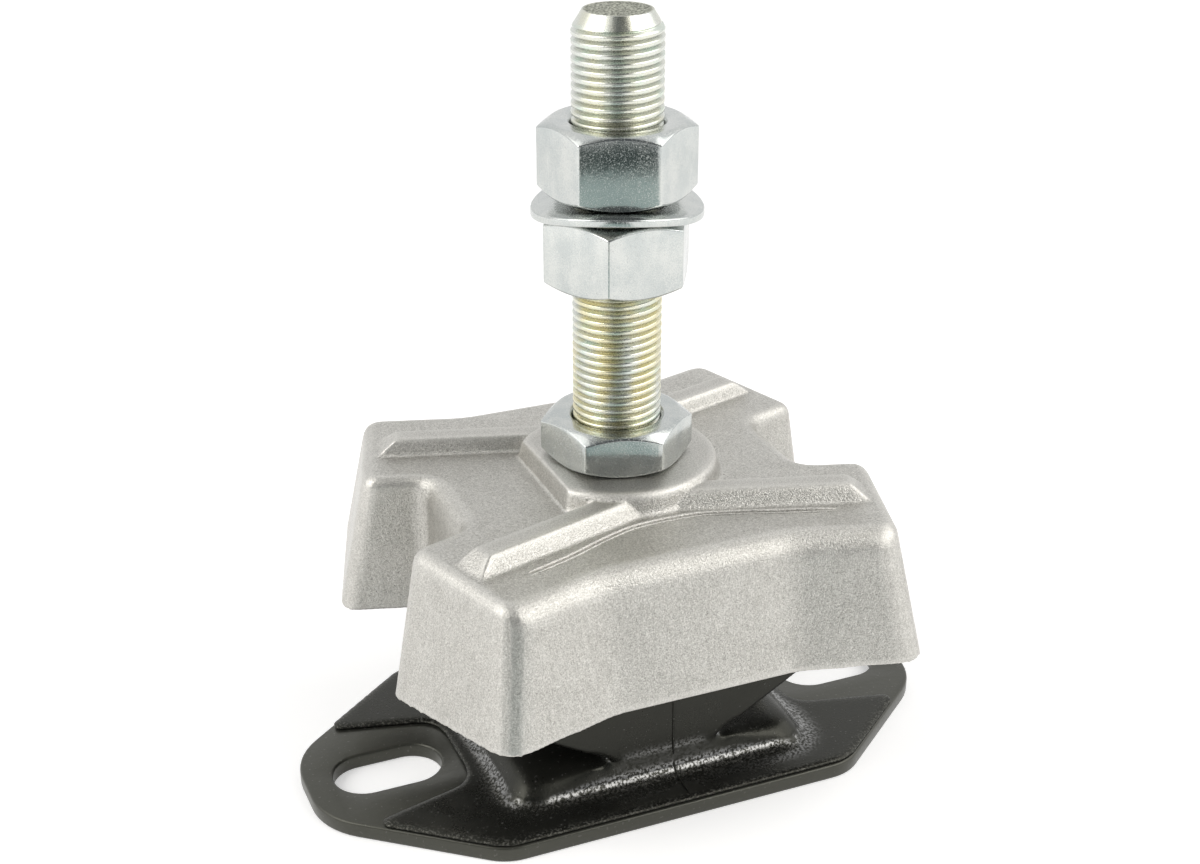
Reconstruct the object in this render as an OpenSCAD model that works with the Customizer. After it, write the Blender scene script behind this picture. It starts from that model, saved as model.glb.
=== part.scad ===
// Rubber anti-vibration mount with a levelling stud
// Origin: centre of the base plate's underside, on the stud's axis. X runs along the plate, Z is up.

/* [Base plate] */
// Length of the plate from tip to tip
plate_l = 123.4; // [118:0.2:140]
// Width of the plate
plate_w = 63.8; // [61:0.2:72]
// Thickness of the steel
plate_t = 3; // [2:0.25:6]
// Length of the straight stretch of each long side
plate_side_l = 68.4; // [56:0.2:76]
// Width of the plate at its tips, before the corners are rounded
plate_tip_w = 20; // [18:1:30]
// Radius of the corners at the ends of the long sides
plate_side_r = 10; // [4:1:14]
// Radius of the corners at the tips
plate_tip_r = 14; // [5:1:16]

/* [Slots] */
// Distance from a slot's centre to the plate's tip
slot_inset = 15.4; // [13:0.1:16]
// Width of each slot
slot_w = 12.2; // [8:0.2:14]
// Overall length of each slot
slot_l = 20.5; // [16:0.5:21]

/* [Rubber] */
// Thickness of the rubber skin on the plate
skin_t = 0.9; // [0.6:0.1:2]
// Distance from the skin's edge to the inner end of a slot
skin_gap = 2.65; // [2:0.05:3.5]
// Half width of the bare patch beside a slot
bare_half_w = 10.4; // [8:0.2:12]
// Half width of the bare patch between the tips of the skin's horns
bare_mouth_half_w = 15.2; // [13:0.2:17]
// Distance from the tips of the skin's horns to the plate's tip
horn_inset = 9.3; // [7.7:0.1:12]
// Radius of the bare patch's inner corners
bare_corner_r = 5; // [2:0.5:7]
// Radius of the horns' tips
horn_tip_r = 1.5; // [0.5:0.1:2]
// Length of the raised foot
foot_l = 56.5; // [50:0.5:57]
// Depth of the rubber body from front to back
body_d = 46; // [40:1:47]
// Height of the foot above the skin
foot_h = 5; // [3:0.5:7]
// Radius of the foot's upright corners
foot_corner_r = 4; // [2:0.5:8]
// Radius of the fillet round the foot
foot_fillet_r = 4; // [2:0.5:4]
// Radius of the foot's top edge
foot_edge_r = 0.8; // [0.4:0.2:1.4]
// Width of the waist where the body leaves the foot
waist_w = 19; // [14:1:26]
// Angle of the body's overhanging flanks above the level
flank_angle = 30.5; // [27:0.5:36]
// Width of the body at its widest, under the end walls of the casting
wing_w = 66; // [62:1:66]

/* [Top casting] */
// Height of the casting's flat top above the floor
web_z = 56; // [54:0.2:60]
// Half length of the straight stretch of each skirt
bend_x = 17.1; // [12:0.5:22]
// Distance from the middle to the foot of each straight skirt
skirt_y = 40.3; // [38:0.1:44]
// Angle at which the four arms flare away from the length
flare = 17.3; // [12:0.1:20]
// Distance along an arm to the foot of its end face
arm_reach = 51.2; // [48:0.1:54]
// Distance from the middle to the end wall between two arms
notch_x = 33.5; // [33.2:0.1:36]
// Lean of the skirts and the arms' outer faces
skirt_draft = 11; // [6:0.5:13]
// Lean of the arms' end faces
end_draft = 11.5; // [6:0.5:14]
// Thickness of the casting's walls
wall = 5; // [4:0.25:6]
// Thickness of the casting's roof over the arms
roof = 7; // [5:0.5:9]
// Height of the arms' lower edge on the inside
arm_foot_z = 29.1; // [27:0.1:32]
// Slope of the lower edge, rising outward
foot_slope = 6; // [0:0.5:8]
// Radius of the top edge over the skirts and the end walls
top_edge_r = 4; // [2:0.5:4]
// Radius of the top edge round the arms' ends and inner walls
arm_edge_r = 2.2; // [1.6:0.1:2.6]
// Radius of the upright corners between the skirts and the arms' ends
arm_corner_r = 4.5; // [4.2:0.1:6]
// Radius of the upright corners between the arms' ends and inner walls
arm_inner_r = 2.8; // [2.4:0.1:4]
// Radius of the fillet where an arm meets the end wall
armpit_r = 3.5; // [3:0.5:8]
// Radius of the bend between a skirt and an arm
bend_r = 16; // [8:1:20]

/* [Ridges and boss] */
// Height of the ridges above the flat top
ridge_h = 2.8; // [1.5:0.1:3.5]
// Width of a ridge's crest
ridge_w = 4; // [2.4:0.2:5]
// Distance of the ridges' crest from the line of the arm's inner wall
ridge_t = 11; // [10:0.2:13]
// Width of a ridge's inner slope
ridge_inner_run = 1.3; // [0.4:0.1:2]
// Width of a ridge's outer slope
ridge_run = 2; // [0.8:0.1:3]
// Radius of the ridges' edges
ridge_edge_r = 0.8; // [0.3:0.1:1]
// Distance from a ridge's end to the rounded edge of the arm's end
ridge_gap = 0.3; // [0.2:0.1:4]
// Angle at which a ridge runs out at its end
ridge_end_angle = 38; // [30:1:60]
// Height of the boss above the flat top
boss_h = 4; // [3.6:0.1:7]
// Radius of the boss at its top
boss_r = 18; // [16:0.5:20]
// Distance from the stud's axis to the flat on the boss
boss_flat_x = 14; // [13.9:0.1:16]
// Widening of the boss from its top to its foot
boss_draft = 1; // [0:0.1:2]
// Radius of the boss's rim
boss_rim_r = 1.2; // [0.4:0.2:2]
// Radius of the fillet round the foot of the boss
boss_fillet_r = 1.6; // [0.4:0.2:2]
// Metal left under the tapped hole
hub_floor = 3; // [2:0.5:4]

/* [Stud and nuts] */
// Diameter of the stud over its thread
stud_d = 15.85; // [15.6:0.05:16]
// Height of the stud's top end above the floor
stud_top_z = 142; // [130:1:150]
// Depth of the tapped hole below the boss
tapped_depth = 17; // [14:0.5:18]
// Width of the 45 degree chamfer on the stud's ends
stud_chamfer = 1.9; // [0.8:0.1:2.2]
// Size of the nuts across their flats
nut_af = 24; // [22:0.5:25]
// Height of the full nuts
nut_h = 13; // [11:0.5:14]
// Height of the thin nut that locks the stud
jam_nut_h = 8; // [6:0.5:9]
// Height of the levelling nut's underside above the floor
levelling_z = 93.2; // [80:0.1:98]
// Width of the countersink at each end of a nut's thread
countersink = 0.7; // [0.3:0.1:1]
// Diameter of the washer
washer_d = 30; // [28:0.5:32]
// Diameter of the washer's hole
washer_hole_d = 17; // [16.5:0.1:18]
// Thickness of the washer
washer_t = 1.4; // [1:0.1:2]
// Radius to which the washer's upper face is bent
washer_bend_r = 52; // [45:1:80]
// Turn of the washer's crest about the stud, from the length of the plate
washer_turn = 66.7; // [0:0.1:180]
// Turn of a corner of the jam nut
jam_turn = 43.2; // [0:0.1:60]
// Turn of a corner of the levelling nut
levelling_turn = 0.7; // [0:0.1:60]
// Turn of a corner of the clamp nut
clamp_turn = 38.8; // [0:0.1:60]

/* [Clearances] */
// Radial running clearance on the thread
thread_gap = 0.05; // [0.02:0.01:0.1]
// Clearance between the washer and each nut
seat_gap = 0.03; // [0.02:0.01:0.1]

/* [Hidden] */
$fn = 96;
corner_steps = 4;
arc_step = 18;
far = 100;
overlap = 1;
skim = 0.1;
steel_black = [0.13, 0.13, 0.14];
rubber_black = [0.08, 0.08, 0.085];
cast_grey = [0.78, 0.77, 0.74];
zinc = [0.74, 0.79, 0.82];
zinc_yellow = [0.76, 0.78, 0.68];

slot_x = plate_l / 2 - slot_inset;
skin_edge_x = slot_x - slot_l / 2 - skin_gap;
horn_x = plate_l / 2 - horn_inset;
skin_z = plate_t + skin_t;
foot_z = skin_z + foot_h;
boss_z = web_z + boss_h;
stud_foot_z = boss_z - tapped_depth;
hub_z = stud_foot_z - hub_floor;
hub_x = notch_x - wall;
cavity_z = web_z - roof;
cavity_bevel = wall / 2;
min_corner_r = 0.5;
min_flat = 0.1;
ridge_sunk = 0.8;
ridge_end_r = 2;
stud_r = stud_d / 2;
thread_hole_r = stud_r + thread_gap;
nut_corner_r = nut_af / 2 / cos(30);
nut_face_r = 0.475 * nut_af;
nut_bevel_angle = 30;
levelling_top_z = levelling_z + nut_h;
washer_low_r = washer_bend_r - washer_t;
washer_sag = washer_low_r - sqrt(pow(washer_low_r, 2) - pow(nut_face_r, 2));
washer_crest_z = levelling_top_z + seat_gap + washer_sag + washer_t;
clamp_z = washer_crest_z + seat_gap;

// Unit vector along v
function unit(v) = v / norm(v);

// Arc of radius r that rounds the corner b between its neighbours a and c
function corner_arc(a, b, c, r, steps = corner_steps) =
    let (u = unit(a - b), v = unit(c - b), half = acos(u * v) / 2,
         centre = b + unit(u + v) * r / sin(half),
         from = b + u * r / tan(half) - centre,
         to = b + v * r / tan(half) - centre,
         start = atan2(from.y, from.x),
         turn = (atan2(to.y, to.x) - start + 540) % 360 - 180)
    [for (i = [0 : steps]) centre + r * [cos(start + turn * i / steps), sin(start + turn * i / steps)]];

// Outline with every corner rounded by its own radius
function rounded(outline, radii, steps = corner_steps) =
    let (n = len(outline))
    [for (i = [0 : n - 1])
        each corner_arc(outline[(i + n - 1) % n], outline[i], outline[(i + 1) % n], radii[i], steps)];

// Point where the line through p along u meets the line through q along v
function meet(p, u, q, v) = p + u * cross(q - p, v) / cross(u, v);

// Outline drawn inward, edge i by shift[i]; the outline runs anticlockwise
function inset(outline, shift) =
    let (n = len(outline),
         dir = [for (i = [0 : n - 1]) unit(outline[(i + 1) % n] - outline[i])],
         start = [for (i = [0 : n - 1]) outline[i] + shift[i] * [-dir[i].y, dir[i].x]])
    [for (i = [0 : n - 1]) meet(start[(i + n - 1) % n], dir[(i + n - 1) % n], start[i], dir[i])];

// List in reverse order
function reversed(list) = [for (i = [len(list) - 1 : -1 : 0]) list[i]];

// Outline mirrored from the corners of one quarter, anticlockwise from the +X side
function four_quarters(quarter) =
    let (back = reversed(quarter))
    [each quarter,
     each [for (p = back) [-p.x, p.y]],
     each [for (p = quarter) [-p.x, -p.y]],
     each [for (p = back) [p.x, -p.y]]];

// Values for the corners of such an outline, from those of one quarter
function four_corners(quarter) =
    let (back = reversed(quarter))
    [each quarter, each back, each quarter, each back];

// Values for the edges of such an outline, from the edges that start at one quarter's corners;
// crossing is for the edge between two mirrored first corners
function four_edges(quarter, crossing) =
    let (back = [for (i = [len(quarter) - 2 : -1 : 0]) quarter[i]])
    [each quarter, each back, crossing, each quarter, each back, crossing];

// Outline lifted to the height z
function lifted(outline, z) = [for (p = outline) [p.x, p.y, z]];

// Solid skinned over a stack of outlines with the same number of points
module loft(slices) {
    n = len(slices[0]);
    last = len(slices) - 1;
    sides = [for (k = [0 : last - 1]) for (i = [0 : n - 1])
        let (a = k * n + i, b = k * n + (i + 1) % n)
        each [[a, a + n, b + n], [a, b + n, b]]];
    polyhedron([for (s = slices) each s],
               [[for (i = [0 : n - 1]) i], each sides, [for (i = [n - 1 : -1 : 0]) last * n + i]]);
}

// Straight bar along X, from x = start, with its section given as (y, height)
module bar_along_x(start, length, section) {
    translate([start, 0, 0]) rotate([90, 0, 90]) linear_extrude(length) polygon(section);
}

// Straight bar along Y, centred on the X axis, with its section given as (x, height)
module bar_along_y(length, section) {
    translate([0, length / 2, 0]) rotate([90, 0, 0]) linear_extrude(length) polygon(section);
}

// Repeats its children for the four arms; X runs along the arm and Y outward across it
module each_arm() {
    for (mx = [0, 1], my = [0, 1])
        mirror([mx, 0, 0]) mirror([0, my, 0]) rotate([0, 0, flare]) children();
}

// Plate

plate_quarter = [[plate_l / 2, plate_tip_w / 2], [plate_side_l / 2, plate_w / 2]];
plate_outline = rounded(four_quarters(plate_quarter), four_corners([plate_tip_r, plate_side_r]), 8);

// Slot with true round ends
module slot(height) {
    straight = slot_l - slot_w;
    for (end = [-1, 1])
        translate([end * straight / 2, 0, 0]) cylinder(d = slot_w, h = height);
    translate([-straight / 2, -slot_w / 2, 0]) cube([straight, slot_w, height]);
}

module base_plate() {
    color(steel_black)
    difference() {
        linear_extrude(plate_t) polygon(plate_outline);
        for (side = [-1, 1])
            translate([side * slot_x, 0, -overlap]) slot(plate_t + 2 * overlap);
    }
}

// Rubber, moulded round the plate's top in one piece

// Patch round the slot on the +X side that the skin leaves bare, open towards the plate's tip
module bare_patch() {
    upper = [[far, far], [horn_x, far], [horn_x, bare_mouth_half_w], [skin_edge_x, bare_half_w]];
    radii = [horn_tip_r, horn_tip_r, horn_tip_r, bare_corner_r];
    outline = [each upper, each [for (p = reversed(upper)) [p.x, -p.y]]];
    polygon(rounded(outline, [each radii, each reversed(radii)]));
}

module skin() {
    linear_extrude(skin_t)
    difference() {
        polygon(plate_outline);
        for (side = [0, 1]) mirror([side, 0]) bare_patch();
    }
}

// Outline of the foot, grown by out all round
function foot_outline(out) =
    rounded(four_quarters([[foot_l / 2 + out, body_d / 2 + out]]), four_corners([foot_corner_r + out]));

// Raised foot with a hollow fillet down to the skin and a rounded top edge
module foot() {
    fillet_r = min(foot_fillet_r, foot_h - foot_edge_r - min_flat);
    sunk = lifted(foot_outline(fillet_r), -skin_t / 2);
    fillet = [for (a = [0 : arc_step : 90])
        lifted(foot_outline(fillet_r * (1 - sin(a))), fillet_r * (1 - cos(a)))];
    top = [for (a = [0 : 45 : 90])
        lifted(foot_outline(-foot_edge_r * (1 - cos(a))), foot_h - foot_edge_r * (1 - sin(a)))];
    loft([sunk, each fillet, each top]);
}

// Body that widens from the waist to its wings and rises into the casting
module body() {
    wing_z = foot_z + (wing_w - waist_w) / 2 * tan(flank_angle);
    half = [[waist_w / 2, foot_z - foot_h / 2], [waist_w / 2, foot_z], [wing_w / 2, wing_z],
            [wing_w / 2, arm_foot_z], [hub_x, arm_foot_z], [hub_x, hub_z]];
    bar_along_y(body_d, [each half, each [for (p = reversed(half)) [-p.x, p.y]]]);
}

module rubber_element() {
    color(rubber_black) {
        translate([0, 0, plate_t]) skin();
        translate([0, 0, skin_z]) foot();
        body();
    }
}

// Casting, a bow-tie shell with four arms

// Plan of one quarter at the foot of the skirts
arm_dir = [cos(flare), sin(flare)];
arm_out = [-sin(flare), cos(flare)];
arm_outer_t = [bend_x, skirt_y] * arm_out;
cast_quarter = [
    [notch_x, notch_x * tan(flare)],
    arm_dir * arm_reach,
    arm_dir * arm_reach + arm_out * arm_outer_t,
    [bend_x, skirt_y]];
foot_bend_y = arm_reach * arm_dir.y;
skirt_foot_z = arm_foot_z + (skirt_y - foot_bend_y) * tan(foot_slope);

// Plan at a height, drawn in by extra, or by tight at the arms' ends and inner walls,
// with the corners' radii changed to suit
function cast_outline(z, extra, tight) =
    let (rise = z - skirt_foot_z,
         skirt = rise * tan(skirt_draft) + extra,
         end = rise * tan(end_draft) + tight,
         inner_r = max(arm_inner_r - tight, min_corner_r),
         outer_r = max(arm_corner_r - extra, min_corner_r))
    lifted(rounded(inset(four_quarters(cast_quarter), four_edges([tight, end, skirt, skirt], extra)),
                   four_corners([armpit_r + extra, inner_r, outer_r, bend_r + extra])), z);

// Inset of a rounded edge at a depth below its top
function edge_inset(r, depth) = depth >= r ? 0 : r - sqrt(pow(r, 2) - pow(r - depth, 2));

// Everything above the height z, to face a loft flat
module above(z) {
    translate([-far, -far, z]) cube([2 * far, 2 * far, far]);
}

// Outer form, with a rounded edge round the faced top
module cast_body() {
    edge = [for (a = [0 : arc_step : 90])
        let (depth = top_edge_r * (1 - sin(a)))
        cast_outline(web_z + skim - depth, edge_inset(top_edge_r, depth), edge_inset(arm_edge_r, depth))];
    difference() {
        loft([cast_outline(arm_foot_z - overlap, 0, 0), each edge]);
        above(web_z);
    }
}

// Hollow under the roof, all round the hub that carries the rubber
module cast_cavity() {
    difference() {
        loft([cast_outline(arm_foot_z - 2 * overlap, wall, wall),
              cast_outline(cavity_z - cavity_bevel, wall, wall),
              cast_outline(cavity_z + skim, wall + cavity_bevel, wall + cavity_bevel)]);
        above(cavity_z);
        translate([-hub_x - overlap, -body_d / 2, hub_z])
            cube([2 * (hub_x + overlap), body_d, web_z - hub_z]);
    }
}

// Everything below the lower edge, which is level under the inner walls and rises outward
module below_edge() {
    rim = [[foot_bend_y, arm_foot_z], [far, arm_foot_z + (far - foot_bend_y) * tan(foot_slope)]];
    bar_along_x(-far, 2 * far, [[-far, -far], [far, -far], rim[1], rim[0],
                                [-rim[0].x, rim[0].y], [-rim[1].x, rim[1].y]]);
}

// Ridge along one arm, steeper inside than outside and run out at its end
module ridge() {
    depth = roof / 2;
    root = web_z - depth;
    crest = web_z + ridge_h;
    deeper = (ridge_h + depth) / ridge_h;
    outer_t = ridge_t + ridge_w;
    section = [[ridge_t - ridge_inner_run * deeper, root], [outer_t + ridge_run * deeper, root],
               [outer_t, crest], [ridge_t, crest]];
    top_reach = arm_reach - (web_z - skirt_foot_z) * tan(end_draft) - arm_edge_r;
    run_out = 1 / tan(ridge_end_angle);
    end_s = top_reach - ridge_gap;
    sunk_s = end_s + ridge_sunk * run_out;
    start_s = ridge_t / 2;
    side = [[start_s, root], [sunk_s, root], [sunk_s, web_z - ridge_sunk],
            [end_s - ridge_h * run_out, crest], [start_s, crest]];
    side_r = [min_corner_r, min_corner_r, min_corner_r, ridge_end_r, min_corner_r];
    intersection() {
        bar_along_x(0, arm_reach,
                    rounded(section, [min_corner_r, min_corner_r, ridge_edge_r, ridge_edge_r]));
        translate([0, ridge_t, 0])
            bar_along_y(6 * (ridge_w + ridge_run), rounded(side, side_r));
    }
}

// Round boss round the stud, rooted a little below the flat top, with a flat on its -X side
module boss() {
    foot_r = boss_r + boss_draft;
    root = web_z - boss_fillet_r / 8;
    corner = [[foot_r + far, root], [foot_r, root], [boss_r, boss_z], [0, boss_z]];
    fillet = corner_arc(corner[0], corner[1], corner[2], boss_fillet_r);
    rim = corner_arc(corner[1], corner[2], corner[3], boss_rim_r);
    difference() {
        rotate_extrude()
            polygon([[0, cavity_z], [fillet[0].x, cavity_z], each fillet, each rim, [0, boss_z]]);
        bar_along_y(2 * far, [[-boss_flat_x, boss_z + overlap], [-far, boss_z + overlap],
                              [-far, web_z - overlap], [-boss_flat_x - boss_draft, web_z - overlap],
                              [-boss_flat_x, boss_z]]);
    }
}

module top_casting() {
    color(cast_grey)
    difference() {
        union() {
            difference() {
                cast_body();
                cast_cavity();
                below_edge();
            }
            each_arm() ridge();
            boss();
        }
        translate([0, 0, stud_foot_z]) cylinder(r = thread_hole_r, h = tapped_depth + overlap);
    }
}

// Stud and nuts

module threaded_stud() {
    core_r = stud_r - stud_chamfer;
    color(zinc_yellow)
    rotate_extrude()
        polygon([[0, stud_foot_z], [core_r, stud_foot_z], [stud_r, stud_foot_z + stud_chamfer],
                 [stud_r, stud_top_z - stud_chamfer], [core_r, stud_top_z], [0, stud_top_z]]);
}

// Hexagon nut with its corners bevelled and its thread countersunk at both ends
module hex_nut(height, turn) {
    wide_r = nut_corner_r + overlap;
    bevel = (wide_r - nut_face_r) * tan(nut_bevel_angle);
    rotate([0, 0, turn])
    difference() {
        intersection() {
            cylinder(r = nut_corner_r, h = height, $fn = 6);
            rotate_extrude()
                polygon([[0, 0], [nut_face_r, 0], [wide_r, bevel],
                         [wide_r, height - bevel], [nut_face_r, height], [0, height]]);
        }
        translate([0, 0, -overlap]) cylinder(r = thread_hole_r, h = height + 2 * overlap);
        for (end = [0, 1])
            translate([0, 0, end * height]) mirror([0, 0, end])
                cylinder(r1 = thread_hole_r + countersink, r2 = thread_hole_r, h = countersink);
    }
}

module jam_nut() {
    color(zinc) translate([0, 0, boss_z]) hex_nut(jam_nut_h, jam_turn);
}

module levelling_nut() {
    color(zinc) translate([0, 0, levelling_z]) hex_nut(nut_h, levelling_turn);
}

module clamp_nut() {
    color(zinc) translate([0, 0, clamp_z]) hex_nut(nut_h, clamp_turn);
}

// Ring bent over a level line, so that it springs when the nuts are drawn together
module spring_washer() {
    color(zinc)
    rotate([0, 0, washer_turn])
    intersection() {
        translate([0, 0, levelling_z]) difference() {
            cylinder(d = washer_d, h = far);
            cylinder(d = washer_hole_d, h = 3 * far, center = true);
        }
        translate([0, 0, washer_crest_z - washer_bend_r]) rotate([0, 90, 0]) difference() {
            cylinder(r = washer_bend_r, h = 2 * washer_d, center = true);
            cylinder(r = washer_low_r, h = 3 * washer_d, center = true);
        }
    }
}

base_plate();
rubber_element();
top_casting();
threaded_stud();
jam_nut();
levelling_nut();
spring_washer();
clamp_nut();
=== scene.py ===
# %% [markdown]
# # A rubber anti-vibration mount
#
# The real object carries one corner of a marine engine. A black steel plate is bolted to the
# engine bed, a block of rubber is moulded onto it, a cast aluminium top with four flared arms
# sits on the rubber, and a levelling stud with its nuts holds the engine's foot.
#
# This lesson dresses a finished construction model. Blender's lengths are in metres. The sizes of
# the pieces are written in millimetres here and multiplied by MM.

# %% Load the construction model
import math

import bmesh
import bpy
import numpy as np
from mathutils import Matrix, Vector


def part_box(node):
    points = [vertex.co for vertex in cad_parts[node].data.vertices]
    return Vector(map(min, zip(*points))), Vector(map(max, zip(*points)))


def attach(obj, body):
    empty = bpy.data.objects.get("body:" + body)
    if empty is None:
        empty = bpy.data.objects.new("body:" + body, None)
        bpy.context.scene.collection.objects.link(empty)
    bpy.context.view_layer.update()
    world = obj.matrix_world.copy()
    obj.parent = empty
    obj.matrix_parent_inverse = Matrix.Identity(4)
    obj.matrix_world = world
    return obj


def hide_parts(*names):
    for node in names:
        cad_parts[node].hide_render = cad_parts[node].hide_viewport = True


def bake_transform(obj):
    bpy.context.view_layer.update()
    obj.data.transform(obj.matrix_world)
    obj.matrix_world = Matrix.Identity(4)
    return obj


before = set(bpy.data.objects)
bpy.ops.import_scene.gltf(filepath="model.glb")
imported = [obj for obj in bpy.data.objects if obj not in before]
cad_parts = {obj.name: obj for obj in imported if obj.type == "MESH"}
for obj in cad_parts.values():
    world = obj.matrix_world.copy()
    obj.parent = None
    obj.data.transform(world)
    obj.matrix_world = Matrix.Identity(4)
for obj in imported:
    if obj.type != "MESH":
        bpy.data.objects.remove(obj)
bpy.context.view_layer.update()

MM = 0.001

# %% [markdown]
# ## The camera
#
# The photograph was taken with a fairly long lens from a little above the object and from its
# left. A camera can be placed by eye, but edges whose real lengths are known fix it exactly: the
# stud's height and the plate's outline gave the distance, the height and the lens. The view is
# level with the stud, and the small shift puts the stud a little right of the middle.

# %% Camera
PHOTO_W, PHOTO_H = 1200, 864
FOCAL_PX = 1832
CENTRE_PX = (616.6, 431.8)
EYE = Vector((-119.5, -276.9, 204.16)) * MM
AIM = Vector((0, 0, 63.73)) * MM
ROLL = 0.0032

camera_data = bpy.data.cameras.new("camera")
camera_data.sensor_width = 36
camera_data.lens = FOCAL_PX * camera_data.sensor_width / PHOTO_W
camera_data.shift_x = (PHOTO_W / 2 - CENTRE_PX[0]) / PHOTO_W
camera_data.shift_y = (CENTRE_PX[1] - PHOTO_H / 2) / PHOTO_W
camera_data.clip_start = 0.01
camera = bpy.data.objects.new("camera", camera_data)
camera.location = EYE
level = (AIM - EYE).to_track_quat("-Z", "Y").to_matrix()
camera.rotation_euler = (level @ Matrix.Rotation(ROLL, 3, "Z")).to_euler()
bpy.context.collection.objects.link(camera)
bpy.context.scene.camera = camera
print("lens in mm:", round(camera_data.lens, 2))

# %% [markdown]
# ## Shader maths in plain Python
#
# A finish is a sum of small patterns: grain, stains, worn edges. Joining the nodes by hand hides
# the sum, so a small class lets Python's own signs build them: `0.3 + 0.2 * grain` adds two Math
# nodes. Everything else comes from one method, which sets a node's options first and then its
# sockets. Each finish is kept under its own name until the pieces take it.

# %% A socket that can be calculated with, and a finish that holds the nodes
class Wire:
    """One output of a shader node, with the arithmetic that the finishes use."""

    def __init__(self, board, socket):
        self.board = board
        self.socket = socket

    def maths(self, operation, *values, clamp=False):
        settings = {"operation": operation, "use_clamp": clamp}
        return self.board.node("ShaderNodeMath", settings, dict(enumerate(values)))

    def __add__(self, other):
        return self.maths("ADD", self, other)

    def __radd__(self, other):
        return self.maths("ADD", other, self)

    def __sub__(self, other):
        return self.maths("SUBTRACT", self, other)

    def __rsub__(self, other):
        return self.maths("SUBTRACT", other, self)

    def __mul__(self, other):
        return self.maths("MULTIPLY", self, other)

    def __rmul__(self, other):
        return self.maths("MULTIPLY", other, self)

    def clamped(self):
        return self.maths("ADD", self, 0.0, clamp=True)


class Board:
    """A node tree under construction."""

    def __init__(self, tree):
        self.tree = tree

    def plug(self, socket, value):
        if isinstance(value, Wire):
            self.tree.links.new(value.socket, socket)
        else:
            socket.default_value = value

    def node(self, kind, settings=None, sockets=None, out=0):
        made = self.tree.nodes.new(kind)
        for key, value in (settings or {}).items():
            setattr(made, key, value)
        for key, value in (sockets or {}).items():
            self.plug(made.inputs[key], value)
        return Wire(self, made.outputs[out]) if len(made.outputs) else None

    def band(self, value, low, high):
        """0 below low, 1 above high and smooth between them."""
        return self.node("ShaderNodeMapRange", {"interpolation_type": "SMOOTHSTEP"},
                         {"Value": value, "From Min": low, "From Max": high})

    def mix(self, factor, a, b):
        """Colour a where the factor is 0 and colour b where it is 1."""
        colours = [(*c, 1.0) if isinstance(c, tuple) else c for c in (a, b)]
        return self.node("ShaderNodeMix", {"data_type": "RGBA"},
                         {"Factor": factor, "A": colours[0], "B": colours[1]}, out="Result")

    def ray(self, kind):
        """1 for rays of one kind, such as Camera, and 0 for the others."""
        return self.node("ShaderNodeLightPath", out="Is " + kind + " Ray")

    def background_seen(self):
        """1 for rays that see or mirror the background, 0 for those that only carry light."""
        return (self.ray("Camera") + self.ray("Glossy") + self.ray("Transmission")).clamped()


class Finish(Board):
    """A material under construction. Its patterns are measured in millimetres on the object."""

    def __init__(self, name):
        self.material = bpy.data.materials.new(name)
        self.material.use_nodes = True
        super().__init__(self.material.node_tree)
        self.shader = self.tree.nodes["Principled BSDF"]
        self.place = self.node("ShaderNodeTexCoord", out="Object")

    def noise(self, size_mm, detail=2.0, stretch=(1, 1, 1), roughness=0.5):
        """Cloudy pattern from 0 to 1 with blobs of about that size."""
        place = self.place
        if stretch != (1, 1, 1):
            place = self.node("ShaderNodeVectorMath", {"operation": "MULTIPLY"},
                              {0: place, 1: stretch})
        return self.node("ShaderNodeTexNoise", None,
                         {"Vector": place, "Scale": 1 / (size_mm * MM),
                          "Detail": detail, "Roughness": roughness})

    def height(self, low_mm, high_mm):
        """0 below one height above the floor, 1 above another and smooth between them."""
        z = self.node("ShaderNodeSeparateXYZ", None, {0: self.place}, out="Z")
        return self.band(z, low_mm * MM, high_mm * MM)

    def attribute(self, name):
        """A number that the mesh stores at each of its points."""
        return self.node("ShaderNodeAttribute", {"attribute_name": name}, out="Fac")

    def bump(self, height, depth_mm):
        """Normals of a surface that rises by that depth where the height is 1."""
        return self.node("ShaderNodeBump", None, {"Height": height, "Distance": depth_mm * MM})

    def dress(self, **values):
        """Sets the shader's sockets, with spaces in their names written as underscores."""
        for key, value in values.items():
            if isinstance(value, tuple):
                value = (*value, 1.0)
            self.plug(self.shader.inputs[key.replace("_", " ")], value)
        return self.material


FINISHES = {}


def keep_finish(name, material):
    """Stores a finish under the name of its slot, for the pieces to take."""
    FINISHES[name] = material
    print("finish", name, "has", len(material.node_tree.nodes), "nodes")


print("shader helpers: Wire, Board and Finish")

# %% [markdown]
# ## Cast aluminium
#
# The top is a sand or gravity casting that was blasted. Its flat areas have an even, fine, matt
# grain with tiny bright and dark points, and its rounded edges are smoother, where handling has
# polished them. These edges are also painted lighter: partly the polish, partly a painted
# highlight. The mesh stores where it is convex in an attribute, and the finish reads it there.

# %% Finish of the casting
def cast_finish():
    f = Finish("cast_aluminium")
    edge = f.attribute("edge")
    grain = f.noise(0.42, detail=3, roughness=0.7)
    sand = f.noise(0.24, detail=2, roughness=0.7)
    draw_marks = f.noise(0.6, detail=2, stretch=(1, 1, 0.05))
    stain = f.noise(8, detail=3)
    tone = 0.5 + (grain - 0.5) * 1.2 + (sand - 0.5) * 2.4 + (stain - 0.5) * 0.35
    tone = tone + (draw_marks - 0.5) * 0.45
    colour = f.mix(tone.clamped(), (0.34, 0.331, 0.305), (0.70, 0.688, 0.65))
    # Convex edges are painted lighter: partly polish wear, partly a painted highlight.
    colour = f.mix((edge * 0.35).clamped(), colour, (0.70, 0.688, 0.655))
    rough = 0.33 + (grain - 0.5) * 0.3 + edge * 0.1
    height = (grain * 0.55 + sand * 0.45) * (1 - 0.5 * edge)
    return f.dress(Base_Color=colour, Metallic=0.92, Roughness=rough.clamped(),
                   Normal=f.bump(height, 0.2))


keep_finish("cast_aluminium", cast_finish())
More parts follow.
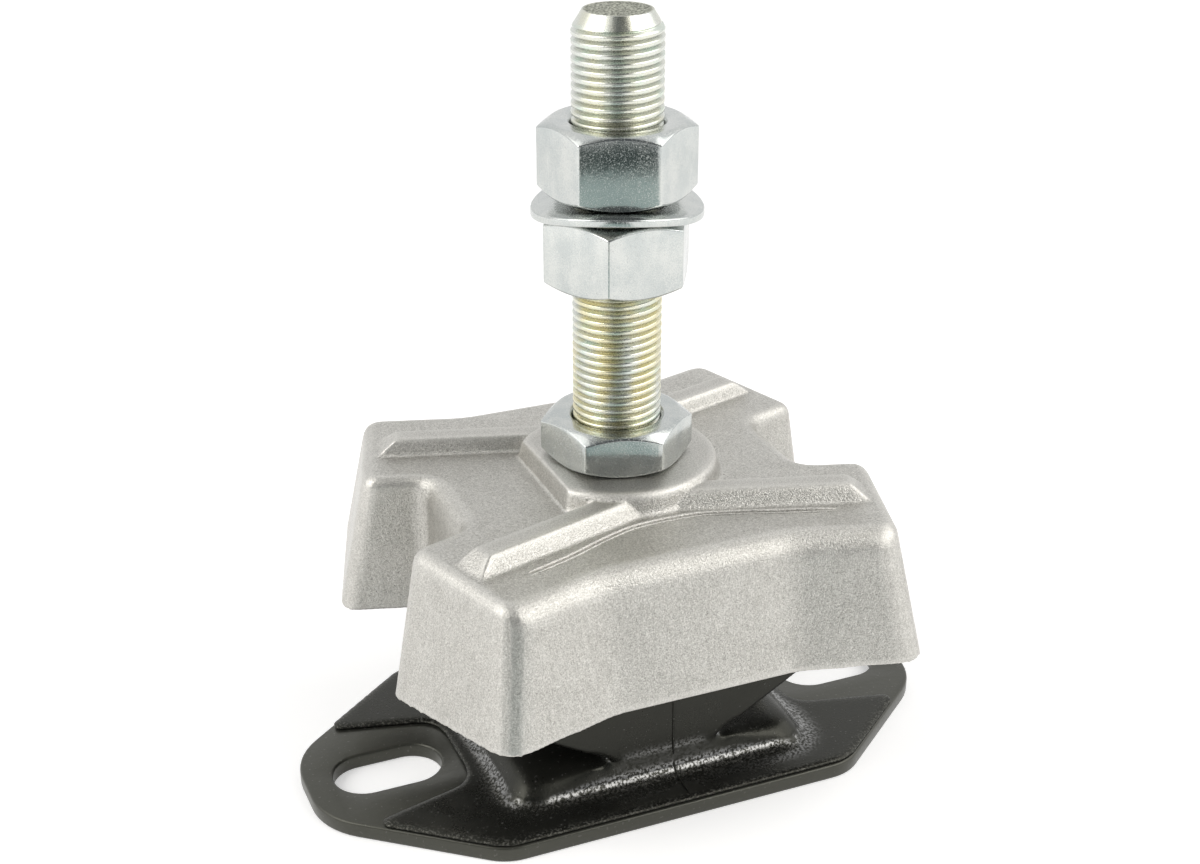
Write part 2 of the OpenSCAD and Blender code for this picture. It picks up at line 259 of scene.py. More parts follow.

# %% [markdown]
# ## Rubber
#
# Moulded natural rubber is nearly black, with a faint olive sheen and pale specks of dust and
# mould powder. In the hollows the mould was worn and polished, so the rubber there is glossy in
# small spots. The sheen shows most of the form, so the roughness and a coat do the work here. The
# pale specks along the edges of the thin skin are partly dust and partly a painted highlight.

# %% Finish of the rubber
OLIVE = (1, 1, 0.86)


def rubber_finish():
    f = Finish("rubber")
    cloud = f.noise(6, detail=4)
    skin = f.noise(0.5, detail=2)
    worn = f.noise(0.5, detail=2)
    dust = f.band(f.noise(0.5, detail=0), 0.76, 0.82)
    edge = f.attribute("edge")
    hollow = f.attribute("hollow")
    # Pale specks along the edges of the thin skin: partly dust, partly a painted highlight.
    rim_dust_and_highlight = edge * (1 - f.height(4.2, 5)) * f.band(f.noise(0.4, detail=1), 0.5, 0.66)
    colour = f.mix(cloud, (0.009, 0.0092, 0.008), (0.016, 0.0163, 0.0142))
    colour = f.mix(dust * 0.5, colour, (0.16, 0.16, 0.155))
    colour = f.mix((rim_dust_and_highlight * 0.45).clamped(), colour, (0.2, 0.2, 0.18))
    rough = 0.3 + (cloud - 0.5) * 0.25 + (skin - 0.5) * 0.12 - hollow * 0.1
    in_hollow = (hollow * 3).clamped()
    coat = in_hollow * f.band(worn, 0.4, 0.6)
    height = skin * 0.4 + worn * in_hollow * 0.6
    return f.dress(Base_Color=colour, Roughness=rough.clamped(), Specular_IOR_Level=0.36,
                   Specular_Tint=OLIVE, Coat_Weight=coat, Coat_IOR=2.6,
                   Coat_Roughness=0.22, Normal=f.bump(height, 0.08))


keep_finish("rubber", rubber_finish())

# %% [markdown]
# ## Coated steel
#
# The plate is steel under a thin black coating. It is a little greyer and smoother than the
# rubber, with the faint orange peel of paint.

# %% Finish of the plate
def plate_finish():
    f = Finish("black_plate")
    peel = f.noise(1.1, detail=2)
    cloud = f.noise(12, detail=3)
    dust = f.band(f.noise(0.6, detail=0), 0.72, 0.8)
    colour = f.mix(cloud, (0.02, 0.0203, 0.0172), (0.036, 0.0366, 0.031))
    colour = f.mix(dust * 0.4, colour, (0.14, 0.14, 0.13))
    rough = 0.32 + (cloud - 0.5) * 0.2
    return f.dress(Base_Color=colour, Roughness=rough.clamped(), Specular_IOR_Level=0.7,
                   Specular_Tint=OLIVE, Normal=f.bump(peel, 0.03))


keep_finish("black_plate", plate_finish())

# %% [markdown]
# ## Bright zinc
#
# The nuts and the washer are zinc plated and passivated, which leaves a cool blue-grey metal with
# faint clouds. They were tumbled in a barrel, so small knocks soften every face and tiny rough
# dents show as pale specks where the face mirrors something dark. The stud has more colour: its
# film is thin enough to shimmer yellow and green along the thread.

# %% Finish of the nuts and the washer
def zinc_finish():
    f = Finish("zinc")
    cloud = f.noise(5, detail=4)
    streak = f.noise(3, detail=3, stretch=(1, 1, 0.3))
    fine = f.noise(0.2, detail=1)
    knocks = f.noise(1.4, detail=2)
    dents = f.band(f.noise(0.33, detail=2, roughness=0.8), 0.6, 0.72)
    tone = cloud * 0.6 + streak * 0.4 + (fine - 0.5) * 0.7
    colour = f.mix(f.band(tone, 0.3, 0.7), (0.475, 0.505, 0.50), (0.61, 0.625, 0.605))
    rough = 0.17 + (cloud - 0.5) * 0.14 + (fine - 0.5) * 0.16 + dents * 0.3
    height = knocks * 0.7 + f.band(fine, 0.6, 0.75) * 0.3
    return f.dress(Base_Color=colour, Metallic=1.0, Roughness=rough.clamped(),
                   Normal=f.bump(height, 0.028))


keep_finish("zinc", zinc_finish())


# %% Finish of the stud
def stud_finish():
    f = Finish("stud_zinc")
    drift = f.noise(7, detail=3, stretch=(1, 1, 0.45))
    shimmer = f.noise(2.2, detail=2, stretch=(0.5, 0.5, 1.6))
    fine = f.noise(0.4, detail=2)
    cut = f.attribute("cut")
    yellow = f.band(drift, 0.35, 0.62) * (1 - 0.6 * f.height(95, 125))
    colour = f.mix(yellow, (0.66, 0.68, 0.64), (0.72, 0.68, 0.47))
    colour = f.mix(f.band(shimmer, 0.5, 0.75) * 0.5, colour, (0.58, 0.70, 0.62))
    # Painted shade: the thread's grooves are darkened in colour, as where shade falls in them.
    groove_shade = f.attribute("groove_shade")
    colour = f.mix((groove_shade * 0.2).clamped(), colour, (0.20, 0.205, 0.16))
    sawn = f.mix(f.band(fine, 0.42, 0.6), (0.12, 0.125, 0.09), (0.52, 0.53, 0.44))
    colour = f.mix(cut, colour, sawn)
    rough = 0.26 + (fine - 0.5) * 0.12 + cut * 0.2
    return f.dress(Base_Color=colour, Metallic=1.0, Roughness=rough.clamped(),
                   Normal=f.bump(fine, 0.012))


keep_finish("stud_zinc", stud_finish())

# %% [markdown]
# ## Mesh helpers
#
# Two kinds of piece are made below. Cast and moulded ones start from the construction solid,
# which is exact but has hard edges: a voxel remesh gives it an even skin, and a smoothing pass
# rounds its edges by a fraction of a millimetre, as a mould does. Turned and pressed ones are
# drawn as points round the stud's axis, because that puts an edge wherever the real one has it.

# %% Helpers that make and place a piece
SPLIT_MM = 0.002


def piece(name, verts, faces, body, finish, node=None):
    """A mesh piece that rides on a body, has a finish and may stand for a construction node."""
    mesh = bpy.data.meshes.new(name)
    mesh.from_pydata([tuple(v) for v in verts], [], faces)
    mesh.validate()
    return settle(bpy.data.objects.new(name, mesh), body, finish, node)


def settle(obj, body, finish, node=None):
    """Links an object, gives it its finish and its body, and shades all its faces smooth."""
    bpy.context.collection.objects.link(obj)
    obj.data.materials.clear()
    obj.data.materials.append(FINISHES[finish])
    obj.data.shade_smooth()
    if body:
        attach(obj, body)
    if node:
        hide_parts(node)
    print(obj.name, "has", len(obj.data.polygons), "faces")
    return obj


def turned_point(r, turn, z):
    """Point at a radius and a height in millimetres, that far round the stud's axis."""
    return (r * MM * math.cos(turn), r * MM * math.sin(turn), z * MM)


def ring_faces(columns, rows):
    """Faces of a ring made of columns of points, where each column is one closed section."""
    faces = []
    for k in range(columns):
        for row in range(rows):
            a, b = k * rows + row, (k + 1) % columns * rows + row
            c, d = k * rows + (row + 1) % rows, (k + 1) % columns * rows + (row + 1) % rows
            faces.append((a, b, d, c))
    return faces


def break_edges(obj, width_mm, angle):
    """Bevels each edge that turns by more than an angle in degrees."""
    bevel = obj.modifiers.new("broken_edges", "BEVEL")
    bevel.width = width_mm * MM
    bevel.segments = 3
    bevel.limit_method = "ANGLE"
    bevel.angle_limit = math.radians(angle)


def welded_copy(node):
    """The construction mesh of a node as one closed skin, with its split edges joined."""
    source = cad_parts[node]
    welded = bmesh.new()
    welded.from_mesh(source.data)
    welded.transform(source.matrix_world)
    bmesh.ops.remove_doubles(welded, verts=welded.verts, dist=SPLIT_MM * MM)
    return welded


def with_modifier(obj, kind, **settings):
    """The object's mesh after one modifier."""
    modifier = obj.modifiers.new(kind.lower(), kind)
    for key, value in settings.items():
        setattr(modifier, key, value)
    graph = bpy.context.evaluated_depsgraph_get()
    graph.update()
    result = bpy.data.meshes.new_from_object(obj.evaluated_get(graph))
    obj.modifiers.remove(modifier)
    return result


print("a ring of 8 columns and 3 rows has", len(ring_faces(8, 3)), "faces")


# %% Helper that remeshes a construction solid and softens its edges
MOST_TRIANGLES = 185000
STEP, STEP_BACK = 0.5, -0.52
BEND_ROUNDS = 4
SHARP_BEND = 0.1


def read_rows(items, key, wide, kind=float):
    """One property of a mesh's points or edges as an array, with a row for each of them."""
    values = np.empty(len(items) * wide, kind)
    items.foreach_get(key, values)
    return values.reshape(-1, wide)


def even_skin(node, voxel_mm):
    """A skin of small even faces over a construction node."""
    welded = welded_copy(node)
    mesh = bpy.data.meshes.new(node + "_skin")
    welded.to_mesh(mesh)
    welded.free()
    shell = bpy.data.objects.new(node + "_skin", mesh)
    bpy.context.collection.objects.link(shell)
    skin = with_modifier(shell, "REMESH", mode="VOXEL", voxel_size=voxel_mm * MM, adaptivity=0)
    bpy.data.objects.remove(shell)
    return skin


def thinned(skin, name):
    """The skin with no more triangles than a piece may have."""
    full = bpy.data.objects.new(name, skin)
    bpy.context.collection.objects.link(full)
    share = min(1, MOST_TRIANGLES / (2 * len(skin.polygons)))
    thin = with_modifier(full, "DECIMATE", ratio=share)
    bpy.data.objects.remove(full)
    return thin


def moulded_mesh(node, voxel_mm, rounds, softer, more_rounds, keep):
    """An even skin over a node, smoothed without shrinking, with its edges and hollows stored.

    Places where softer is above 0 get more rounds, in which keep is the share of each step back.
    """
    skin = even_skin(node, voxel_mm)
    places = read_rows(skin.vertices, "co", 3)
    pairs = read_rows(skin.edges, "vertices", 2, int)
    count = np.bincount(pairs.ravel(), minlength=len(places))[:, None]
    links = np.concatenate([pairs, pairs[:, ::-1]])

    def mean_of_neighbours(values, links):
        columns = [np.bincount(links[:, 0], values[links[:, 1], k], len(values))
                   for k in range(values.shape[1])]
        return np.stack(columns, 1) / count

    def smooth(points, links, weight, turns, back):
        """Moves points to their neighbours' mean and back, so that the form keeps its size."""
        for step in (STEP, STEP_BACK * back) * turns:
            if step:
                pull = (mean_of_neighbours(places, links) - places)[points]
                places[points] += weight * step * pull

    smooth(slice(None), links, 1, rounds, 1)
    weight = softer(places / MM)[:, None]
    soft = np.flatnonzero(weight[:, 0])
    smooth(soft, links[weight[links[:, 0], 0] > 0], weight[soft], more_rounds, keep)
    skin.vertices.foreach_set("co", places.ravel())
    skin.update()

    normals = read_rows(skin.vertex_normals, "vector", 3)
    outward = ((places - mean_of_neighbours(places, links)) * normals).sum(1, keepdims=True)
    bend = outward * MM / (voxel_mm * MM) ** 2
    for _ in range(BEND_ROUNDS):
        bend = mean_of_neighbours(bend, links)
    for name, amount in (("edge", bend), ("hollow", -bend)):
        share = np.clip(amount[:, 0] / SHARP_BEND, 0, 1)
        skin.attributes.new(name, "FLOAT", "POINT").data.foreach_set("value", share)
        covered = round(float((share > 0.5).mean()), 3)
        print(node, name, "share:", covered, "of", len(share), "points")
    return thinned(skin, node + "_full")


print("a moulded piece has at most", MOST_TRIANGLES, "triangles")

# %% [markdown]
# ## The casting
#
# It is one shell with a ridge along each arm and a boss round the stud. On the real one a thin
# raised bead and a finer line beside it run along the foot of the front ridges and round the
# front of the boss, a mark of the pattern from which the mould was made. Both are thin tubes sunk
# into the shell.

# %% Casting
CAST_VOXEL = 0.32
CAST_ROUNDS, RIM_ROUNDS = 7, 30
RIM_Z = 33


def near_the_rim(places):
    """1 at the lower edge, which was dressed by hand and is rounder, and 0 a little above it."""
    return np.clip((RIM_Z + 1 - places[:, 2]) / 2, 0, 1)


cast_mesh = moulded_mesh("top_casting", CAST_VOXEL, CAST_ROUNDS, near_the_rim, RIM_ROUNDS, keep=1)
casting = bpy.data.objects.new("casting", cast_mesh)
settle(casting, "casting", "cast_aluminium", "top_casting")


# %% Bead along the foot of the front ridges
TIP_SHARE = 0.15


def tube(name, path, radius, body, finish, sides=8):
    """Thin round bead along a list of points, tapered away over four points at each end."""
    path = [Vector(p) for p in path]
    verts, faces = [], []
    for i, point in enumerate(path):
        along = (path[min(i + 1, len(path) - 1)] - path[max(i - 1, 0)]).normalized()
        side = along.cross(Vector((0, 0, 1)))
        if side.length < 0.1:  # the path runs nearly upright here
            side = along.cross(Vector((0, 1, 0)))
        side.normalize()
        up = side.cross(along)
        taper = min(1, TIP_SHARE + min(i, len(path) - 1 - i) / 4)
        for k in range(sides):
            a = 2 * math.pi * k / sides
            verts.append(point + radius * taper * (math.cos(a) * side + math.sin(a) * up))
    for i in range(len(path) - 1):
        for k in range(sides):
            a, b = i * sides + k, i * sides + (k + 1) % sides
            faces.append((a, b, b + sides, a + sides))
    faces.append(tuple(range(sides))[::-1])
    faces.append(tuple(len(verts) - sides + k for k in range(sides)))
    return piece(name, verts, faces, body, finish)


def smooth_path(corners, steps=10):
    """Curve through the corners, without overshoot at the ends."""
    points = [Vector(c) for c in corners]
    points = [2 * points[0] - points[1]] + points + [2 * points[-1] - points[-2]]
    curve = []
    for i in range(1, len(points) - 2):
        a, b, c, d = points[i - 1:i + 3]
        for k in range(steps):
            t = k / steps
            curve.append(0.5 * (2 * b + (c - a) * t + (2 * a - 5 * b + 4 * c - d) * t * t
                                + (3 * b - a - 3 * c + d) * t ** 3))
    return curve + [points[-2]]


WEB_Z = 56 * MM
FLARE = math.radians(17.3)
LEFT_RIDGE_FOOT = ((37, 19.8), (28, 19.6), (18, 18.6))
RIGHT_RIDGE_FOOT = ((18, 18.4), (28, 18.8), (37, 19))
BOSS_FRONT, BOSS_FLAT_HALF = 21.2, 5
BEAD_R, LINE_R, LINE_AWAY = 0.42, 0.2, 0.95


def on_front_arm(s, t, side):
    """Point on the web, s along a front arm and t across it; side is -1 for the left arm."""
    x = s * math.cos(FLARE) - t * math.sin(FLARE)
    y = s * math.sin(FLARE) + t * math.cos(FLARE)
    return (side * x * MM, -y * MM, WEB_Z)


def bead_corners(outward):
    """Along the left ridge, round the boss and along the right ridge, that far in front."""
    left = [on_front_arm(s, t + outward, -1) for s, t in LEFT_RIDGE_FOOT]
    right = [on_front_arm(s, t + outward, 1) for s, t in RIGHT_RIDGE_FOOT]
    middle = [(x * MM, -(BOSS_FRONT + outward) * MM, WEB_Z)
              for x in (-BOSS_FLAT_HALF, BOSS_FLAT_HALF)]
    return left + middle + right


for name, radius, away in (("bead", BEAD_R, 0), ("bead-line", LINE_R, LINE_AWAY)):
    tube(name, smooth_path(bead_corners(away)), radius * MM, "casting", "cast_aluminium")

# %% [markdown]
# ## The rubber
#
# It is one moulding, thin over the plate and thick in the middle. The piece rides on no body.

# %% Rubber
RUBBER_VOXEL = 0.38
RUBBER_ROUNDS, FOOT_ROUNDS = 5, 240
FOOT_HALF_L, FOOT_HALF_D, FOOT_Z = 28.25, 23, 8.9
SOFT_BAND, SOFT_LOW, SOFT_FADE = 8, 5.9, 0.4
WAIST_HALF_L = 14
TIP_FADE, TIP_BALL, TIP_SOFT = 7, 4, 0.08
SKIN_TOP, SKIN_SOFT = 5, 0.1


def soft_edges(places):
    """How much to soften: most at the foot's top edge, which is very round.

    It fades out towards the lower tips of the body's V. The tips and the edges of the thin skin
    get a little of their own.
    """
    x, y, z = np.abs(places).T
    near_edge = np.clip(np.maximum(x - FOOT_HALF_L, y - FOOT_HALF_D) + SOFT_BAND, 0, 1)
    below_top = np.clip((FOOT_Z + 0.5 - z) / SOFT_FADE, 0, 1)
    foot = near_edge * below_top * np.clip(z - SOFT_LOW, 0, 1)
    from_tip = np.sqrt((x - WAIST_HALF_L) ** 2 + (y - FOOT_HALF_D) ** 2 + (z - FOOT_Z) ** 2)
    tip = TIP_SOFT * np.clip((TIP_BALL - from_tip) / 2, 0, 1)
    foot = np.maximum(foot * np.clip(from_tip / TIP_FADE, 0, 1), tip)
    skin = SKIN_SOFT * np.clip(SKIN_TOP - z, 0, 1)
    return np.maximum(foot, skin)


rubber_mesh = moulded_mesh("rubber_element", RUBBER_VOXEL, RUBBER_ROUNDS, soft_edges,
                           FOOT_ROUNDS, keep=0)
rubber = settle(bpy.data.objects.new("rubber", rubber_mesh), None, "rubber", "rubber_element")
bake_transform(rubber)


# %% Lines that the mould left on the rubber
SKIN_Z, SKIN_EDGE_Y = 3.9, 31.9
BODY_TOP_Z = 28.8
FILLET_R = 4
PARTING_X, PARTING_R = 1.6, 0.26


def parting_path(side):
    """Down the front or the back of the body, round the hollow fillet and out over the skin."""
    toe_y = FOOT_HALF_D + FILLET_R
    down = np.linspace(BODY_TOP_Z, SKIN_Z + FILLET_R, 24)
    path = [(PARTING_X, FOOT_HALF_D, z) for z in down]
    for a in range(10, 90, 10):
        turn = math.radians(a)
        path.append((PARTING_X, toe_y - FILLET_R * math.cos(turn),
                     SKIN_Z + FILLET_R * (1 - math.sin(turn))))
    path += [(PARTING_X, y, SKIN_Z) for y in np.linspace(toe_y, SKIN_EDGE_Y - 0.3, 6)]
    return [(x * MM, side * y * MM, z * MM) for x, y, z in path]


for name, side in (("parting-front", -1), ("parting-back", 1)):
    line = tube(name, parting_path(side), PARTING_R * MM, None, "rubber")
    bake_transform(line)

# %% [markdown]
# ## The plate
#
# It was punched from sheet, so its edges are just broken. A narrow bevel catches the light along
# them.

# %% Plate
PLATE_BREAK, PLATE_BREAK_ANGLE = 0.45, 40

plate_mesh = bpy.data.meshes.new("plate")
plate_form = welded_copy("base_plate")
bmesh.ops.dissolve_limit(plate_form, angle_limit=math.radians(1),
                         verts=plate_form.verts, edges=plate_form.edges)
plate_form.to_mesh(plate_mesh)
plate_form.free()
plate = settle(bpy.data.objects.new("plate", plate_mesh), "base", "black_plate", "base_plate")
break_edges(plate, PLATE_BREAK, PLATE_BREAK_ANGLE)

# %% [markdown]
# ## The stud
#
# A rolled M16 thread with a pitch of 1.5 mm. It could be a texture, but its silhouette shows
# against the white ground, so it is real geometry: rows of points follow the helix, and each row
# has one radius. Where a row leaves the stud it is clamped to the end, and the chamfer cuts the
# radius down. In the photograph the stud ends 1.7 mm lower than the construction model has it, so
# it ends there.

# %% Threaded stud
STUD_R = 7.925
ROOT_R = 7.08
PITCH = 1.5
CHAMFER = 1.9
CHAMFER_TALL = 3.0
END_LOWER = 1.7
STUD_LOW, STUD_HIGH = (corner[2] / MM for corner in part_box("threaded_stud"))
STUD_HIGH -= END_LOWER
AROUND = 84
PROFILE = 10
ROOT_SHARE, FLANK_SHARE = 0.1, 0.45
CROWN = 0.1
WELD_MM = 0.004
CAP_SIDES, CAP_RIM = 12, 0.5


def thread_radius(phase):
    """Rounded trapezoid with a slightly domed crest, where phase is 0; the root is at 0.5."""
    from_root = abs(2 * phase - 1)
    lift = min(1, max(0, (from_root - ROOT_SHARE) / FLANK_SHARE))
    crown = CROWN * (1 - min(1, from_root))
    return ROOT_R + (STUD_R - ROOT_R) * lift * lift * (3 - 2 * lift) - crown * lift


def thread_grid():
    """Rows of points that follow the helix, and the faces between them."""
    turns = math.ceil((STUD_HIGH - STUD_LOW) / PITCH) + 1
    rows = turns * PROFILE + 1
    verts = []
    for row in range(rows):
        for a in range(AROUND + 1):
            z = STUD_LOW + (row / PROFILE - 1 + a / AROUND) * PITCH
            z = min(max(z, STUD_LOW), STUD_HIGH)
            r = thread_radius(row % PROFILE / PROFILE)
            from_end = min(STUD_HIGH - z, z - STUD_LOW)
            r = min(r, STUD_R - CHAMFER + from_end * CHAMFER / CHAMFER_TALL)
            verts.append(turned_point(r, 2 * math.pi * a / AROUND, z))
    wide = AROUND + 1
    faces = [(k, k + 1, k + 1 + wide, k + wide)
             for row in range(rows - 1) for k in range(row * wide, row * wide + AROUND)]
    return verts, faces


def threaded_stud():
    """The grid of the thread as one closed skin, with its sawn ends marked and its grooves marked
    for painted shade.
    """
    verts, faces = thread_grid()
    form = bmesh.new()
    for v in verts:
        form.verts.new(v)
    form.verts.ensure_lookup_table()
    for face in faces:
        form.faces.new([form.verts[k] for k in face])
    bmesh.ops.remove_doubles(form, verts=form.verts, dist=WELD_MM * MM)
    bmesh.ops.dissolve_degenerate(form, edges=form.edges, dist=WELD_MM * MM)
    open_edges = [e for e in form.edges if e.is_boundary]
    bmesh.ops.holes_fill(form, edges=open_edges, sides=0)
    caps = [face for face in form.faces if len(face.verts) > CAP_SIDES]
    for cap in caps:
        bmesh.ops.inset_region(form, faces=[cap], thickness=CAP_RIM * MM)
    cut = form.verts.layers.float.new("cut")
    groove_shade = form.verts.layers.float.new("groove_shade")
    for vert in form.verts:
        depth = (STUD_R - math.hypot(vert.co.x, vert.co.y) / MM) / (STUD_R - ROOT_R)
        in_thread = STUD_LOW + CHAMFER_TALL < vert.co.z / MM < STUD_HIGH - CHAMFER_TALL
        vert[groove_shade] = max(0, 2 * depth - 1) if in_thread else 0
    for cap in caps:
        for vert in cap.verts:
            vert[cut] = 1.0
    bmesh.ops.recalc_face_normals(form, faces=form.faces)
    mesh = bpy.data.meshes.new("stud")
    form.to_mesh(mesh)
    still_open = sum(edge.is_boundary for edge in form.edges)
    print("stud:", len(caps), "caps and", still_open, "open edges")
    form.free()
    return mesh


stud = bpy.data.objects.new("stud", threaded_stud())
settle(stud, "casting", "stud_zinc", "threaded_stud")
stud.data.set_sharp_from_angle(angle=math.radians(50))

# %% [markdown]
# ## The nuts
#
# Each is a hexagon 24 mm across its flats. A cone cuts the corners at 30 degrees, which draws the
# arc at the top of every flat, and the thread is countersunk at both ends. The outline is worked
# out at each of 96 angles, so the arcs come from the cone and aren't drawn by hand.

# %% Nuts
NUT_AF = 24
NUT_FACE_R = 0.475 * NUT_AF
NUT_BEVEL = math.tan(math.radians(30))
BORE_R = 7.975
COUNTERSINK = 0.7
NUT_COLUMNS = 96
NUT_ROUNDING, NUT_ROUNDING_ANGLE = 0.28, 22
NUT_PLACES = {
    "jam_nut": ("casting", 43.2),
    "levelling_nut": ("levelling", 0.7),
    "clamp_nut": ("clamp", 38.8),
}


def hexagon_radius(angle):
    """Distance to the hexagon's side at an angle from one of its corners."""
    return NUT_AF / 2 / math.cos(math.radians(angle % 60 - 30))


def nut(node, body, corner_turn):
    """A nut in a node's place, with its first corner at an angle in degrees."""
    low, high = (corner[2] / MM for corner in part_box(node))
    columns = []
    for k in range(NUT_COLUMNS):
        angle = 360 * k / NUT_COLUMNS
        wide = hexagon_radius(angle)
        drop = (wide - NUT_FACE_R) * NUT_BEVEL
        columns.append((angle, [
            (BORE_R, low + COUNTERSINK), (BORE_R + COUNTERSINK, low), (NUT_FACE_R, low),
            (wide, low + drop), (wide, high - drop), (NUT_FACE_R, high),
            (BORE_R + COUNTERSINK, high), (BORE_R, high - COUNTERSINK)]))
    verts = [turned_point(r, math.radians(angle + corner_turn), z)
             for angle, section in columns for r, z in section]
    faces = ring_faces(NUT_COLUMNS, len(verts) // NUT_COLUMNS)
    made = piece(node.replace("_", "-"), verts, faces, body, "zinc", node)
    break_edges(made, NUT_ROUNDING, NUT_ROUNDING_ANGLE)


for node, (body, turn) in NUT_PLACES.items():
    nut(node, body, turn)

# %% [markdown]
# ## The spring washer
#
# A ring of 30 mm bent over a level line, so that it springs when the nuts are drawn together. Its
# section keeps rounded corners, because it was blanked and tumbled.

# %% Spring washer
WASHER_R, WASHER_HOLE_R, WASHER_T = 15, 8.5, 1.4
WASHER_BEND_R = 52
WASHER_TURN = math.radians(66.7)
WASHER_CORNER = 0.3
WASHER_COLUMNS = 120


def washer_section():
    """Radius and height above the underside at each point of the rounded section."""
    inner, outer = WASHER_HOLE_R + WASHER_CORNER, WASHER_R - WASHER_CORNER
    low, high = WASHER_CORNER, WASHER_T - WASHER_CORNER
    corners = ((outer, low, 270), (outer, high, 0), (inner, high, 90), (inner, low, 180))
    section = []
    for r, level, start in corners:
        for a in (0, 30, 60, 90):
            angle = math.radians(start + a)
            section.append((r + WASHER_CORNER * math.cos(angle),
                            level + WASHER_CORNER * math.sin(angle)))
    return section


def washer():
    """The section, carried round the axis and bent over a cylinder that lies under the ring."""
    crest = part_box("spring_washer")[1][2] / MM
    centre_z = crest - WASHER_BEND_R
    section = washer_section()
    verts = []
    for k in range(WASHER_COLUMNS):
        turn = 2 * math.pi * k / WASHER_COLUMNS
        for r, h in section:
            across = r * math.sin(turn - WASHER_TURN)
            bend_r = WASHER_BEND_R - WASHER_T + h
            verts.append(turned_point(r, turn, centre_z + math.sqrt(bend_r ** 2 - across ** 2)))
    faces = ring_faces(WASHER_COLUMNS, len(section))
    piece("spring-washer", verts, faces, "washer", "zinc", "spring_washer")


washer()

# %% [markdown]
# ## Floor, world and lamps
#
# Metal shows what stands round it, so the studio matters as much as the finishes. The photograph
# has the look of two large soft lamps, one at each side, each with a smaller and stronger one in
# front of it, a white table and a dim room behind the camera: faces that look to a side are
# bright, faces that look up past the camera are dark, and the fronts of the nuts darken upward,
# because they mirror the table where it ends. The table's end is a card on the floor that only
# reflections see, and it glows less and less away from the object. The ground is white to the
# camera and keeps the shadow.

# %% Floor
TO_CAMERA = Vector((EYE.x, EYE.y, 0)).normalized()
HALF_FLOOR = 2.5
FLOOR_GLOW, MORE_GLOW = 0.45, 0.5
GLOW_FROM, GLOW_TO = 0.35, 1.2
PALE = (0.95, 0.95, 0.95)


def flat_sheet(name, corners, material):
    """A sheet with four corners that belongs to the studio and not to the object."""
    mesh = bpy.data.meshes.new(name)
    mesh.from_pydata(corners, [], [(0, 1, 2, 3)])
    mesh.materials.append(material)
    obj = bpy.data.objects.new(name, mesh)
    bpy.context.collection.objects.link(obj)
    return obj


def floor_finish():
    """A matt floor that also glows, brighter further out, where it is seen or mirrored."""
    f = Finish("floor")
    f.dress(Base_Color=(0.8, 0.8, 0.8), Roughness=0.9, Specular_IOR_Level=0.0)
    away = f.node("ShaderNodeVectorMath", {"operation": "LENGTH"}, {0: f.place}, out="Value")
    level = FLOOR_GLOW + MORE_GLOW * f.band(away, GLOW_FROM, GLOW_TO)
    glow = f.node("ShaderNodeEmission", None, {"Strength": f.background_seen() * level})
    both = f.node("ShaderNodeAddShader", None, {0: Wire(f, f.shader.outputs[0]), 1: glow})
    f.plug(f.tree.nodes["Material Output"].inputs["Surface"], both)
    return f.material


flat_sheet("floor", [(-HALF_FLOOR, -HALF_FLOOR, 0), (HALF_FLOOR, -HALF_FLOOR, 0),
                     (HALF_FLOOR, HALF_FLOOR, 0), (-HALF_FLOOR, HALF_FLOOR, 0)], floor_finish())
print("floor:", 2 * HALF_FLOOR, "m wide")


# %% Dark card where the table ends
CARD_START, CARD_LONG, CARD_LIFT = 0.1, 2, 0.001
CARD_NEAR_HALF, CARD_FAR_HALF = 0.05, 0.45
TABLE_FROM, TABLE_FADES, TABLE_ENDS = 0.02, 0.24, 0.36


def card():
    """A sheet in front of the object that glows like a table and then goes dark."""
    f = Finish("card")
    along = f.node("ShaderNodeSeparateXYZ", None, {0: f.place}, out="Y")
    table = f.mix(f.band(along, 0, TABLE_FROM), PALE, (0.50, 0.60, 0.58))
    level = f.mix(f.band(along, TABLE_FADES, TABLE_ENDS), table, (0.06, 0.08, 0.075))
    f.dress(Base_Color=(0, 0, 0), Specular_IOR_Level=0.0,
            Emission_Color=level, Emission_Strength=1.0)
    corners = [(-CARD_NEAR_HALF, 0, 0), (CARD_NEAR_HALF, 0, 0),
               (CARD_FAR_HALF, CARD_LONG, 0), (-CARD_FAR_HALF, CARD_LONG, 0)]
    obj = flat_sheet("card", corners, f.material)
    obj.location = CARD_START * TO_CAMERA + Vector((0, 0, CARD_LIFT))
    obj.rotation_euler = (0, 0, math.atan2(TO_CAMERA.y, TO_CAMERA.x) - math.pi / 2)
    obj.visible_camera = False
    obj.visible_diffuse = False
    obj.visible_shadow = False
    return obj


print("card starts", round(card().location.length, 3), "m in front")


# %% World
DIM_RISE = math.radians(50)
DIM_FROM, DIM_TO = 0.45, 0.88


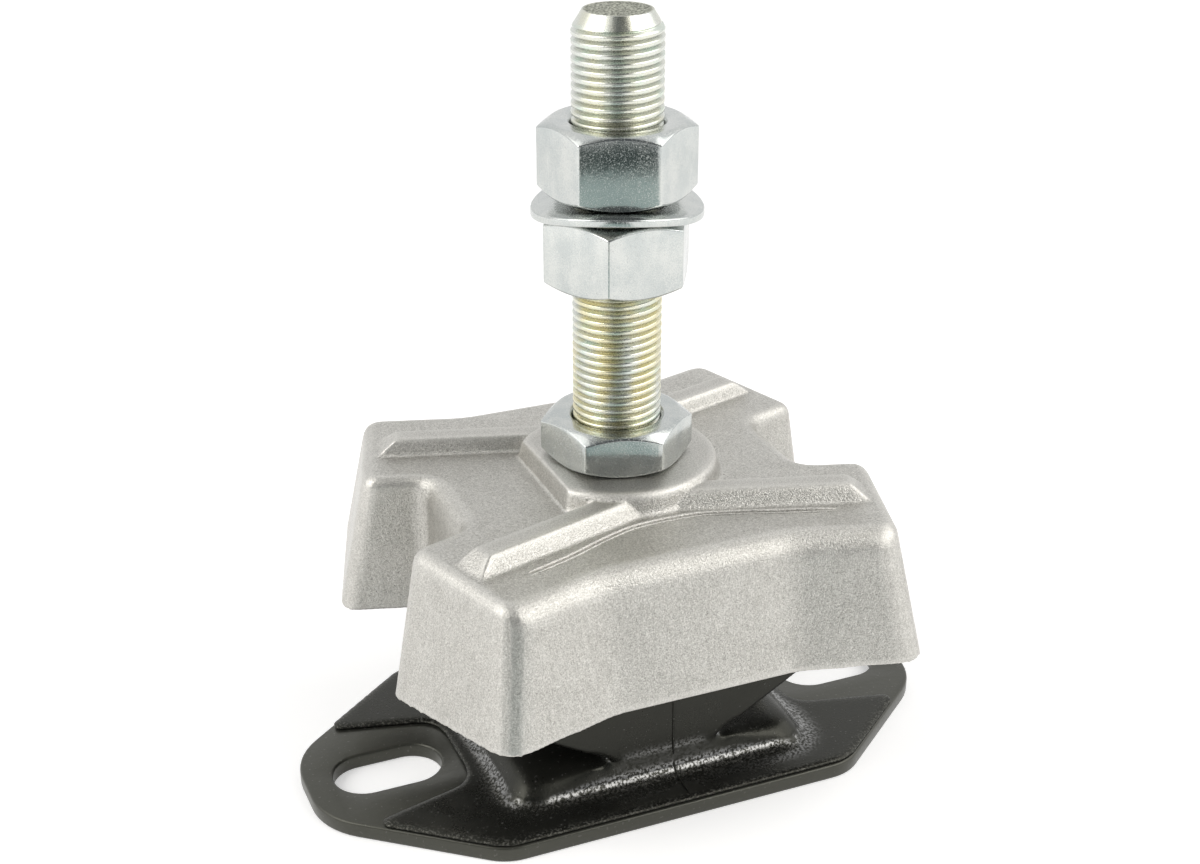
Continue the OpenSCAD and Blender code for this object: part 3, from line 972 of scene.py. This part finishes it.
def studio_world():
    """White to the camera; elsewhere pale, with a dim patch above and behind the camera."""
    world = bpy.data.worlds.new("studio")
    world.use_nodes = True
    bpy.context.scene.world = world
    world.node_tree.nodes.clear()
    w = Board(world.node_tree)
    direction = w.node("ShaderNodeTexCoord", out="Generated")
    over_camera = math.cos(DIM_RISE) * TO_CAMERA + Vector((0, 0, math.sin(DIM_RISE)))
    nearness = w.node("ShaderNodeVectorMath", {"operation": "DOT_PRODUCT"},
                      {0: direction, 1: tuple(over_camera)}, out="Value")
    dim = w.band(nearness, DIM_FROM, DIM_TO)
    mirrored = w.mix(dim, PALE, (0.11, 0.12, 0.125))
    carried = w.mix(dim, (0.5, 0.5, 0.5), (0.25, 0.25, 0.25))
    colour = w.mix(w.ray("Camera"), w.mix(w.background_seen(), carried, mirrored), (1, 1, 1))
    background = w.node("ShaderNodeBackground", None, {"Color": colour})
    w.node("ShaderNodeOutputWorld", None, {"Surface": background})
    print("world nodes:", len(world.node_tree.nodes))


studio_world()


# %% Lamps
WARM = (1.0, 0.98, 0.95)
LAMP_AWAY = 0.8
LAMP_TARGET = Vector((0, 0, 0.06))


def softbox(name, azimuth, elevation, size, level):
    """Square lamp aimed at the object; level is the share of full light that it gives there."""
    a, e = math.radians(azimuth), math.radians(elevation)
    lamp = bpy.data.lights.new(name, "AREA")
    lamp.size = size
    lamp.color = WARM
    lamp.energy = level * math.pi ** 2 * LAMP_AWAY ** 2
    obj = bpy.data.objects.new(name, lamp)
    toward = Vector((math.sin(a) * math.cos(e), -math.cos(a) * math.cos(e), math.sin(e)))
    obj.location = LAMP_TARGET + LAMP_AWAY * toward
    obj.rotation_euler = toward.to_track_quat("Z", "Y").to_euler()
    bpy.context.collection.objects.link(obj)
    print(name, "lamp:", round(lamp.energy, 2), "W")


softbox("left", azimuth=-95, elevation=42, size=0.9, level=0.38)
softbox("right", azimuth=66, elevation=42, size=0.8, level=0.42)
softbox("left-core", azimuth=-84, elevation=38, size=0.36, level=0.24)
softbox("right-core", azimuth=33, elevation=37, size=0.36, level=0.22)

bpy.context.scene.view_settings.view_transform = "Standard"
